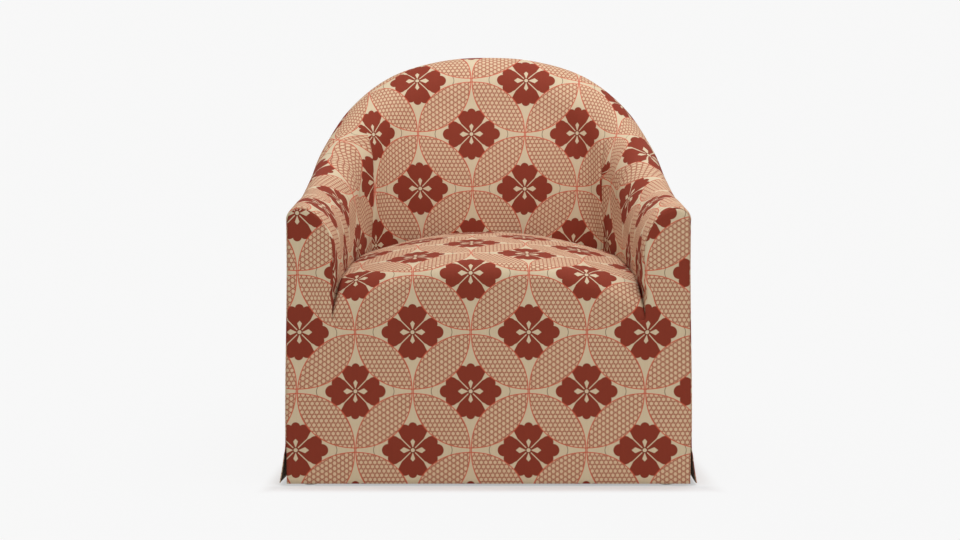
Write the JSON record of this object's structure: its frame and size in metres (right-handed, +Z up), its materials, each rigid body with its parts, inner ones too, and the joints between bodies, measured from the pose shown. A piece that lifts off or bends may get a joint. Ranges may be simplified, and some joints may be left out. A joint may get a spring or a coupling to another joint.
{
  "type": "tub chair",
  "caption": "Low tub armchair with one round shell for arms and arched back, a crowned seat and a straight skirt to the floor, slipcovered in printed cloth.",
  "frame": {"origin": "Centre of the overall box, at the level that the glides stand on.", "axes": "+Z is up and along the height, the longest extent. +Y runs from the front panel to the outer back, the shortest extent. +X is to the right for someone who faces the chair's front."},
  "size_m": [0.821, 0.81, 0.83],
  "materials": {
    "printed_cloth": "matte woven cotton, printed with interlocking circles and flower diamonds in madder red and pink on tan",
    "foam": "open cell foam",
    "board": "raw fibreboard",
    "timber": "planed, unfinished",
    "nylon": "moulded",
    "webbing": "woven elastic",
    "steel": "drawn wire",
    "felt": "pressed felt",
    "black_cloth": "spunbond"
  },
  "bodies": {
    "root": {"inside_cover": "printed_cloth", "outer_arm_cover_right": "printed_cloth", "outer_arm_cover_left": "printed_cloth", "outer_back_cover": "printed_cloth", "seat_and_front_cover": "printed_cloth", "arm_foam_right": "foam", "arm_foam_left": "foam", "back_foam": "foam", "seat_foam": "foam", "arm_liner_right": "board", "arm_liner_left": "board", "back_liner": "board", "side_rail_right": "timber", "side_rail_left": "timber", "rear_rail": "timber", "front_rail": "timber", "front_block_right": "timber", "front_block_left": "timber", "rear_block_right": "timber", "rear_block_left": "timber", "leg_front_right": "timber", "leg_front_left": "timber", "leg_rear_right": "timber", "leg_rear_left": "timber", "arm_rail_right": "timber", "arm_rail_left": "timber", "crest_rail": "timber", "arm_post_right": "timber", "arm_post_left": "timber", "back_post_right": "timber", "back_post_left": "timber", "arm_tack_rail_right": "timber", "arm_tack_rail_left": "timber", "back_tack_rail": "timber", "back_slat": "timber", "glide_front_right": "nylon", "glide_front_left": "nylon", "glide_rear_right": "nylon", "glide_rear_left": "nylon", "back_strap_right": "webbing", "back_strap_middle": "webbing", "back_strap_left": "webbing", "spring_1": "steel", "spring_2": "steel", "spring_3": "steel", "spring_4": "steel", "spring_clip_front_1": "steel", "spring_clip_front_2": "steel", "spring_clip_front_3": "steel", "spring_clip_front_4": "steel", "spring_clip_rear_1": "steel", "spring_clip_rear_2": "steel", "spring_clip_rear_3": "steel", "spring_clip_rear_4": "steel", "spring_pad": "felt", "dust_cover": "black_cloth"}
  },
  "joints": []
}
